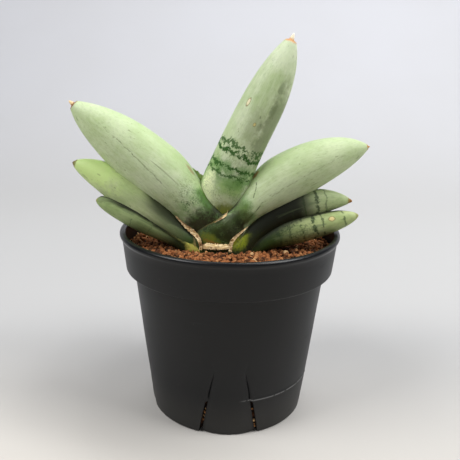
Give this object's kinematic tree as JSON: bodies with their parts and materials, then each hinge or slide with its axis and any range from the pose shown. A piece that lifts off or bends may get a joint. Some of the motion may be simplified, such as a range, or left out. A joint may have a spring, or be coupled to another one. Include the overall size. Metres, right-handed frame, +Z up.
{
  "type": "potted snake plant",
  "caption": "Snake plant with a fan of fat cylindrical leaves clasping one another at the base, growing in reddish clay granules in a slit-sided round nursery pot.",
  "frame": {"origin": "centre of the pot's flat foot, on the surface that it stands on", "axes": "+Z up along the pot's axis, X across the broad side of the leaf fan with the tallest leaf leaning to +X, -Y towards the broad front of the fan"},
  "size_m": [0.138, 0.105, 0.1795],
  "materials": {
    "pot": "satin",
    "substrate": "matte",
    "rootstock": "matte",
    "leaf_center": "satin",
    "leaf_left_upper": "satin",
    "leaf_right_upper": "satin",
    "leaf_left_middle": "satin",
    "leaf_right_middle": "satin",
    "leaf_left_lower": "satin",
    "leaf_right_lower": "satin",
    "dry_sheath": "matte"
  },
  "bodies": {
    "root": {"pot": "pot", "substrate": "substrate", "rootstock": "rootstock", "leaf_center": "leaf_center", "leaf_left_upper": "leaf_left_upper", "leaf_right_upper": "leaf_right_upper", "leaf_left_middle": "leaf_left_middle", "leaf_right_middle": "leaf_right_middle", "leaf_left_lower": "leaf_left_lower", "leaf_right_lower": "leaf_right_lower", "dry_sheath": "dry_sheath"}
  },
  "joints": []
}
